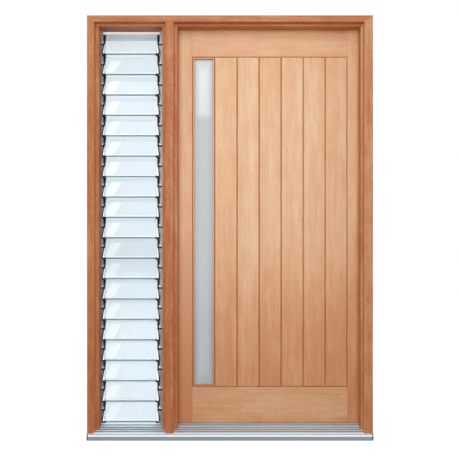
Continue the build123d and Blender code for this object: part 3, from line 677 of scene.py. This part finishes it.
def sill_metal(settings):
    """Mill-finish aluminium, with painted shade in its flutes and at its step, painted light on its seat, and
    a painted highlight and painted shade on its nose.
    """
    metal = DrawnMetal("sill_aluminium", settings.sill_colour, ACROSS_DOOR)
    depth = metal.axis(metal.place, "Y")
    height = metal.axis(metal.place, "Z")
    # Widths over which one colour turns into the next
    fine = 0.001
    broad = 0.002

    pitch = settings.flute_pitch
    turn = metal.maths("FRACT", metal.maths("ADD", metal.maths("DIVIDE", depth, pitch), 0.5))
    off_flute = metal.maths("ABSOLUTE", metal.maths("SUBTRACT", turn, 0.5))
    half = settings.flute_width / pitch / 2
    in_flute = metal.short_of(off_flute, half, blur=0.15 * half)
    fluted = metal.between(depth, 0.5 * pitch, (settings.flute_count - 0.5) * pitch, blur=fine)
    riser = settings.riser_depth
    on_seat = metal.beyond(depth, riser, blur=fine)
    at_riser = metal.between(depth, riser - broad, riser, blur=fine)
    on_land = metal.short_of(depth, settings.land_depth, blur=broad)
    on_nose = metal.short_of(depth, -settings.nose_depth, blur=0.7 * broad)
    on_front = metal.short_of(height, settings.nose_front_height, blur=broad)
    on_shade = metal.beyond(height, settings.nose_shade_height, blur=fine)

    # Painted shade in the flutes
    face = metal.mixed(metal.product(in_flute, fluted), metal.face, opaque(settings.sill_painted_shade))
    # Painted light on the seat
    face = metal.mixed(on_seat, face, opaque(settings.sill_seat_painted_light))
    # Painted shade at the step
    face = metal.mixed(at_riser, face, opaque(settings.sill_painted_shade, RISER_TONE))
    # Painted highlight on the land behind the nose
    face = metal.mixed(on_land, face, opaque(settings.sill_nose_painted_highlight))
    # Painted highlight on the nose's rounding, painted shade on its front and in the blue-grey line on its
    # top
    nose = metal.mixed(on_front, opaque(settings.sill_nose_painted_highlight), opaque(settings.sill_front_painted_shade))
    nose = metal.mixed(on_shade, nose, opaque(settings.sill_shade))
    metal.polish(metal.mixed(on_nose, face, nose), settings.sill_metallic, settings.sill_roughness)
    return metal.material


def moulded_plastic(name, tone, roughness, gloss=0.5):
    """Moulded plastic with a fine spark-eroded grain."""
    plastic = Finish(name)
    grain = plastic.noise(plastic.stretched((1600.0, 1600.0, 1600.0)), detail=2.0)
    scuffs = plastic.noise(plastic.stretched((90.0, 90.0, 30.0)), detail=4.0, roughness=0.65)
    worn = plastic.beyond(scuffs, 0.52, blur=0.2)
    plastic.surface({
        "Base Color": plastic.mixed(worn, opaque(tone), opaque(tone, SCUFF_TONE)),
        "Roughness": plastic.spread(scuffs, 0.3, 0.7, roughness - 0.08, roughness + 0.08),
        "IOR": 1.5,
        "Specular IOR Level": gloss,
    })
    plastic.relief(grain, distance=0.0002, strength=0.2)
    return plastic.material


def leaf_finish(settings):
    """Grain colours, roughness, gloss and painted foot shade of the leaf's timber."""
    return {
        "tones": (settings.leaf_pale, settings.leaf_middle, settings.leaf_deep, settings.leaf_pore),
        "roughness": settings.leaf_roughness,
        "gloss": settings.leaf_gloss,
        "sheen": settings.leaf_sheen,
        "foot": (settings.leaf_foot_painted_shade, settings.foot_low, settings.foot_high),
    }


def frame_finish(settings):
    """Grain colours, roughness, gloss and painted rebate light of the frame's timber."""
    return {
        "tones": (settings.frame_pale, settings.frame_middle, settings.frame_deep, settings.frame_pore),
        "roughness": settings.frame_roughness,
        "gloss": settings.frame_gloss,
        "sheen": settings.frame_sheen,
        "rebate": (settings.rebate_painted_light, settings.rebate_depth),
    }


class DOOR_OT_frame_timbers(bpy.types.Operator):
    """Finish the head, jambs, mullion and louvre fillet in oiled red-brown timber"""

    bl_idname = "door.frame_timbers"
    bl_label = "Frame timbers"

    lightness = {
        "left_jamb": -0.08,
        "mullion": -0.02,
        "right_jamb": 0.09,
        "head": 0.04,
        "louvre_head_fillet": -0.04,
    }

    def execute(self, context):
        settings = context.scene.door_timber
        directions = {name: UP_DOOR for name in FRAME_UPRIGHTS}
        directions.update({name: ACROSS_DOOR for name in FRAME_CROSSPIECES})
        for name, axis in directions.items():
            dress(name, timber(name, axis, self.lightness[name], **frame_finish(settings)))
            soften(name, settings.frame_arris)
        return {"FINISHED"}


class DOOR_OT_leaf_frame(bpy.types.Operator):
    """Finish the leaf's stiles and rails in pale satin timber"""

    bl_idname = "door.leaf_frame"
    bl_label = "Leaf stiles and rails"

    lightness = {"lock_stile": -0.12, "hinge_stile": 0.05, "top_rail": -0.02, "bottom_rail": 0.28}

    def execute(self, context):
        settings = context.scene.door_timber
        directions = {name: UP_DOOR for name in LEAF_STILES}
        directions.update({name: ACROSS_DOOR for name in LEAF_RAILS})
        for name, axis in directions.items():
            dress(name, timber(name, axis, self.lightness[name], **leaf_finish(settings)))
            soften(name, settings.leaf_arris)
        return {"FINISHED"}


class DOOR_OT_planks(bpy.types.Operator):
    """Finish each of the leaf's planks in its own board of pale satin timber"""

    bl_idname = "door.planks"
    bl_label = "Planks"

    lightness = (0.02, 0.1, 0.05, 0.1, 0.05, 0.05)

    def execute(self, context):
        settings = context.scene.door_timber
        for index, name in enumerate(LEAF_PLANKS):
            lightness = self.lightness[index % len(self.lightness)]
            dress(name, timber(name, UP_DOOR, lightness, **leaf_finish(settings)))
            soften(name, settings.leaf_arris)
        return {"FINISHED"}


class DOOR_OT_beads(bpy.types.Operator):
    """Finish the glazing beads around the strip"""

    bl_idname = "door.beads"
    bl_label = "Glazing beads"

    lightness = -0.25

    def execute(self, context):
        settings = context.scene.door_timber
        for name in LEAF_BEADS:
            dress(name, timber(name, UP_DOOR, self.lightness, **leaf_finish(settings)))
            soften(name, settings.bead_arris)
        return {"FINISHED"}


class DOOR_OT_strip_glass(bpy.types.Operator):
    """Finish the tall strip in etched obscure glass"""

    bl_idname = "door.strip_glass"
    bl_label = "Strip glass"

    def execute(self, context):
        dress("strip_glass", obscure_glass(context.scene.door_glass))
        return {"FINISHED"}


class DOOR_OT_louvre_blades(bpy.types.Operator):
    """Finish the louvre's glass blades, with ground edges"""

    bl_idname = "door.louvre_blades"
    bl_label = "Louvre blades"

    def execute(self, context):
        settings = context.scene.door_glass
        glass = louvre_glass(settings)
        for name in LOUVRE_BLADES:
            dress(name, glass)
            soften(name, settings.blade_arris)
        return {"FINISHED"}


class DOOR_OT_louvre_fittings(bpy.types.Operator):
    """Finish the louvre's galleries, weather bars and clips"""

    bl_idname = "door.louvre_fittings"
    bl_label = "Louvre fittings"

    def execute(self, context):
        settings = context.scene.door_metal
        upright = drawn_metal(
            "gallery_aluminium", settings.gallery_colour, settings.gallery_roughness, UP_DOOR,
            metallic=settings.gallery_metallic,
        )
        bar = drawn_metal(
            "weather_bar_aluminium", settings.bar_colour, settings.bar_roughness, ACROSS_DOOR,
            metallic=settings.bar_metallic,
        )
        # Painted shade and light: black bodies and bright plates are shaded and lit copies of one clip finish
        nylon = moulded_plastic(
            "clip_painted_shade", settings.clip_body_painted_shade, settings.clip_body_roughness,
            gloss=settings.clip_body_gloss,
        )
        plate = drawn_metal(
            "clip_painted_light", settings.clip_plate_painted_light, settings.clip_plate_roughness, UP_DOOR,
            metallic=settings.clip_plate_metallic,
        )
        for names, material in ((LOUVRE_GALLERIES, upright), (WEATHER_BARS, bar)):
            for name in names:
                dress(name, material)
                soften(name, settings.metal_arris)
        for name, material in (("louvre_clip_bodies", nylon), ("louvre_clip_plates", plate)):
            dress(name, material)
            soften(name, settings.clip_arris, CURVED_EDGE)
        return {"FINISHED"}


class DOOR_OT_sill(bpy.types.Operator):
    """Finish the fluted sill and its end caps"""

    bl_idname = "door.sill"
    bl_label = "Sill"

    def execute(self, context):
        settings = context.scene.door_metal
        plastic = moulded_plastic("end_cap_plastic", settings.cap_colour, settings.cap_roughness)
        for name, material in (("sill", sill_metal(settings)), ("sill_end_caps", plastic)):
            dress(name, material)
            soften(name, settings.metal_arris, CURVED_EDGE)
        return {"FINISHED"}


class ScrewHead:
    """A domed screw head with a cross recess, in shares of its radius and its rise."""

    corners = 24
    dome = ((1.0, 0.0), (0.97, 0.45), (0.84, 0.8), (0.62, 1.0))
    recess_reach = 0.46
    recess_half = 0.13
    recess_floor = 0.3

    def __init__(self, mesh, seat, outward, radius, rise):
        self.mesh = mesh
        self.seat = seat
        self.outward = outward * rise
        self.up = Vector((0.0, 0.0, radius))
        self.side = outward.cross(self.up)

    def ring(self, points, height):
        """Corners of one loop at a height over the plate."""
        places = [self.seat + self.side * u + self.up * v + self.outward * height for u, v in points]
        return [self.mesh.verts.new(place) for place in places]

    def wall(self, lower, upper):
        """Faces between two loops of as many corners."""
        for index, corner in enumerate(lower):
            following = (index + 1) % len(lower)
            self.mesh.faces.new((corner, lower[following], upper[following], upper[index]))

    def rim(self, loop):
        """Edges of a closed loop."""
        return [self.mesh.edges.get((corner, loop[index - 1])) for index, corner in enumerate(loop)]

    def add(self):
        """Make the head, closed underneath."""
        turns = [2 * math.pi * index / self.corners for index in range(self.corners)]
        circle = [(math.cos(turn), math.sin(turn)) for turn in turns]
        domes = []
        for reach, height in self.dome:
            domes.append(self.ring([(reach * u, reach * v) for u, v in circle], height))
        for lower, upper in zip(domes, domes[1:]):
            self.wall(lower, upper)
        self.mesh.faces.new(domes[0])
        quarter = [(self.recess_half, self.recess_half), (self.recess_half, self.recess_reach)]
        quarter.append((-self.recess_half, self.recess_reach))
        cross = []
        for _ in range(4):
            cross.extend(quarter)
            quarter = [(-v, u) for u, v in quarter]
        brim = self.ring(cross, 1.0)
        floor = self.ring(cross, self.recess_floor)
        self.wall(floor, brim)
        self.mesh.faces.new(floor)
        bmesh.ops.triangle_fill(self.mesh, edges=self.rim(domes[-1]) + self.rim(brim), use_beauty=True)


def hinge_spans(node):
    """Lower and upper end of each hinge in a node, told apart by the wide gaps between hinges."""
    gap_between = 0.2
    heights = sorted({round(corner.co.z, 4) for corner in NODES[node].data.vertices})
    spans = [[heights[0], heights[0]]]
    for height in heights:
        if height - spans[-1][1] > gap_between:
            spans.append([height, height])
        spans[-1][1] = height
    return spans


class DOOR_OT_hinges(bpy.types.Operator):
    """Finish the hinges in satin steel and add the screws in their plates"""

    bl_idname = "door.hinges"
    bl_label = "Hinges"

    # Where the two rows of screws lie, as shares of a plate's width
    screw_rows = (0.34, 0.66)

    def execute(self, context):
        settings = context.scene.door_metal
        steel = drawn_metal("hinge_steel", settings.hinge_colour, settings.hinge_roughness, UP_DOOR)
        leaf_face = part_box("hinge_stile")[1].x
        jamb_face = 2 * frame["joints"][0]["pos_m"][0] - leaf_face
        outwards = Vector((1.0, 0.0, 0.0))
        halves = (
            ("frame_hinges", "frame", jamb_face, -outwards),
            ("leaf_hinges", "leaf", leaf_face, outwards),
        )
        for name, body, face, outward in halves:
            dress(name, steel)
            soften(name, settings.metal_arris, BARREL_EDGE)
            screws = self.make_screws(context.scene, settings, name, face, outward)
            screws.data.materials.append(steel)
            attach(screws, body)
        return {"FINISHED"}

    def make_screws(self, scene, settings, hinges, face, outward):
        """The screws of one side's plates, in two staggered rows."""
        plate_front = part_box(hinges)[0].y
        plate_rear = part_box("hinge_stile")[1].y
        heads = bmesh.new()
        for low, high in hinge_spans(hinges):
            for index in range(settings.screws_per_plate):
                row = self.screw_rows[index % len(self.screw_rows)]
                depth = plate_front + row * (plate_rear - plate_front)
                height = low + (index + 0.5) / settings.screws_per_plate * (high - low)
                seat = Vector((face, depth, height))
                ScrewHead(heads, seat, outward, settings.screw_radius, settings.screw_rise).add()
        bmesh.ops.recalc_face_normals(heads, faces=heads.faces)
        mesh = bpy.data.meshes.new(hinges + "_screws")
        heads.to_mesh(mesh)
        heads.free()
        screws = bpy.data.objects.new(hinges + "_screws", mesh)
        scene.collection.objects.link(screws)
        return screws


class DOOR_OT_stage(bpy.types.Operator):
    """Set up the camera, lamps, white background and floor"""

    bl_idname = "door.stage"
    bl_label = "Stage"

    def execute(self, context):
        settings = context.scene.door_stage
        self.set_view(context.scene)
        self.set_camera(context.scene, settings)
        self.set_world(context.scene, settings)
        self.set_floor(context.scene, settings)
        aim = (CAD_LOW + CAD_HIGH) / 2
        self.set_lamp(
            context.scene, "key_softbox", Vector(settings.key_place), aim,
            (settings.key_width, settings.key_height), settings.key_radiance,
        )
        self.set_lamp(
            context.scene, "back_softbox", Vector(settings.back_place), aim,
            (settings.back_width, settings.back_height), settings.back_radiance,
        )
        scrim = Vector(settings.scrim_place)
        lamp = self.set_lamp(
            context.scene, "frontal_scrim", scrim, Vector((scrim.x, 0.0, scrim.z)),
            (settings.scrim_width, settings.scrim_height), settings.scrim_radiance,
        )
        self.dim_foot(lamp, settings.scrim_fade)
        fill = Vector(settings.fill_place)
        for side, name in ((-1.0, "left_fill"), (1.0, "right_fill")):
            self.set_lamp(
                context.scene, name, Vector((side * fill.x, fill.y, fill.z)), Vector((0.0, 0.0, fill.z)),
                (settings.fill_width, settings.fill_height), settings.fill_radiance,
            )
        return {"FINISHED"}

    def set_view(self, scene):
        """Show colours as they are written."""
        scene.view_settings.view_transform = "Standard"

    def set_camera(self, scene, settings):
        """A level camera on the door set's middle line."""
        data = bpy.data.cameras.new("camera")
        data.lens = settings.camera_lens
        camera = bpy.data.objects.new("camera", data)
        camera.location = (0.0, -settings.camera_distance, settings.camera_height)
        camera.rotation_euler = (math.pi / 2, 0.0, 0.0)
        scene.collection.objects.link(camera)
        scene.camera = camera

    def seen_directly(self, tree):
        """1 for rays from the camera, from reflections and through glass, and 0 for light on the object."""
        rays = tree.nodes.new("ShaderNodeLightPath")
        total = rays.outputs["Is Camera Ray"]
        for name in ("Is Glossy Ray", "Is Transmission Ray"):
            added = tree.nodes.new("ShaderNodeMath")
            added.operation = "MAXIMUM"
            tree.links.new(total, added.inputs[0])
            tree.links.new(rays.outputs[name], added.inputs[1])
            total = added.outputs[0]
        return total

    def set_world(self, scene, settings):
        """Even light from all round, seen as white."""
        world = bpy.data.worlds.new("studio")
        world.use_nodes = True
        tree = world.node_tree
        tree.nodes.clear()
        even = tree.nodes.new("ShaderNodeBackground")
        even.inputs["Color"].default_value = WHITE
        even.inputs["Strength"].default_value = settings.surroundings
        white = tree.nodes.new("ShaderNodeBackground")
        white.inputs["Color"].default_value = WHITE
        white.inputs["Strength"].default_value = 1.0
        chosen = tree.nodes.new("ShaderNodeMixShader")
        output = tree.nodes.new("ShaderNodeOutputWorld")
        tree.links.new(self.seen_directly(tree), chosen.inputs[0])
        tree.links.new(even.outputs[0], chosen.inputs[1])
        tree.links.new(white.outputs[0], chosen.inputs[2])
        tree.links.new(chosen.outputs[0], output.inputs["Surface"])
        scene.world = world

    def set_floor(self, scene, settings):
        """A pale floor that keeps the door's shadow and fades into the white background."""
        half = settings.floor_size / 2
        corners = [(-half, -half, 0.0), (half, -half, 0.0), (half, half, 0.0), (-half, half, 0.0)]
        mesh = bpy.data.meshes.new("floor")
        mesh.from_pydata(corners, [], [(0, 1, 2, 3)])
        floor = bpy.data.objects.new("floor", mesh)
        scene.collection.objects.link(floor)
        material = bpy.data.materials.new("floor_paint")
        material.use_nodes = True
        tree = material.node_tree
        tree.nodes.clear()
        paint = tree.nodes.new("ShaderNodeBsdfDiffuse")
        paint.inputs["Color"].default_value = opaque(settings.floor_colour)
        glow = tree.nodes.new("ShaderNodeEmission")
        glow.inputs["Color"].default_value = WHITE
        glow.inputs["Strength"].default_value = settings.floor_glow
        glowing = tree.nodes.new("ShaderNodeAddShader")
        chosen = tree.nodes.new("ShaderNodeMixShader")
        output = tree.nodes.new("ShaderNodeOutputMaterial")
        tree.links.new(paint.outputs[0], glowing.inputs[0])
        tree.links.new(glow.outputs[0], glowing.inputs[1])
        tree.links.new(self.seen_directly(tree), chosen.inputs[0])
        tree.links.new(paint.outputs[0], chosen.inputs[1])
        tree.links.new(glowing.outputs[0], chosen.inputs[2])
        tree.links.new(chosen.outputs[0], output.inputs["Surface"])
        mesh.materials.append(material)

    def set_lamp(self, scene, name, place, aim, size, radiance):
        """A rectangular softbox of the given radiance."""
        data = bpy.data.lights.new(name, "AREA")
        data.shape = "RECTANGLE"
        data.size, data.size_y = size
        data.energy = radiance * math.pi * size[0] * size[1]
        lamp = bpy.data.objects.new(name, data)
        lamp.location = place
        lamp.rotation_mode = "QUATERNION"
        lamp.rotation_quaternion = (aim - place).to_track_quat("-Z", "Y")
        scene.collection.objects.link(lamp)
        return data

    def dim_foot(self, lamp, fade):
        """Let a softbox dim evenly to nothing at its foot."""
        lamp.use_nodes = True
        tree = lamp.node_tree
        glow = next(node for node in tree.nodes if node.type == "EMISSION")
        across_lamp = tree.nodes.new("ShaderNodeNewGeometry")
        split = tree.nodes.new("ShaderNodeSeparateXYZ")
        dimmed = tree.nodes.new("ShaderNodeMapRange")
        dimmed.interpolation_type = "SMOOTHSTEP"
        dimmed.inputs["From Max"].default_value = fade
        tree.links.new(across_lamp.outputs["Parametric"], split.inputs["Vector"])
        tree.links.new(split.outputs["Y"], dimmed.inputs["Value"])
        tree.links.new(dimmed.outputs["Result"], glow.inputs["Strength"])


OPERATORS = (
    DOOR_OT_stage,
    DOOR_OT_frame_timbers,
    DOOR_OT_leaf_frame,
    DOOR_OT_planks,
    DOOR_OT_beads,
    DOOR_OT_strip_glass,
    DOOR_OT_louvre_blades,
    DOOR_OT_louvre_fittings,
    DOOR_OT_sill,
    DOOR_OT_hinges,
)

SETTINGS = {
    "door_timber": TimberSettings,
    "door_glass": GlassSettings,
    "door_metal": MetalSettings,
    "door_stage": StageSettings,
}


class DOOR_PT_sidebar(bpy.types.Panel):
    """Lists the steps that finish the door set, with their sizes and colours"""

    bl_idname = "DOOR_PT_sidebar"
    bl_label = "Plank Door Set"
    bl_space_type = "VIEW_3D"
    bl_region_type = "UI"
    bl_category = "Door"

    def draw(self, context):
        for operator in OPERATORS:
            self.layout.operator(operator.bl_idname)
        for name, group in SETTINGS.items():
            box = self.layout.box()
            box.label(text=group.__doc__)
            for key in group.__annotations__:
                box.prop(getattr(context.scene, name), key)


CLASSES = tuple(SETTINGS.values()) + OPERATORS + (DOOR_PT_sidebar,)


def register():
    """Add the settings, operators and panel."""
    for item in CLASSES:
        bpy.utils.register_class(item)
    for name, group in SETTINGS.items():
        setattr(bpy.types.Scene, name, PointerProperty(type=group))


def unregister():
    """Take the settings, operators and panel away."""
    for name in SETTINGS:
        delattr(bpy.types.Scene, name)
    for item in reversed(CLASSES):
        bpy.utils.unregister_class(item)


def main():
    """Dress the door set and set the stage."""
    register()
    bpy.ops.door.stage()
    bpy.ops.door.frame_timbers()
    bpy.ops.door.leaf_frame()
    bpy.ops.door.planks()
    bpy.ops.door.beads()
    bpy.ops.door.strip_glass()
    bpy.ops.door.louvre_blades()
    bpy.ops.door.louvre_fittings()
    bpy.ops.door.sill()
    bpy.ops.door.hinges()


if __name__ == "__main__":
    main()
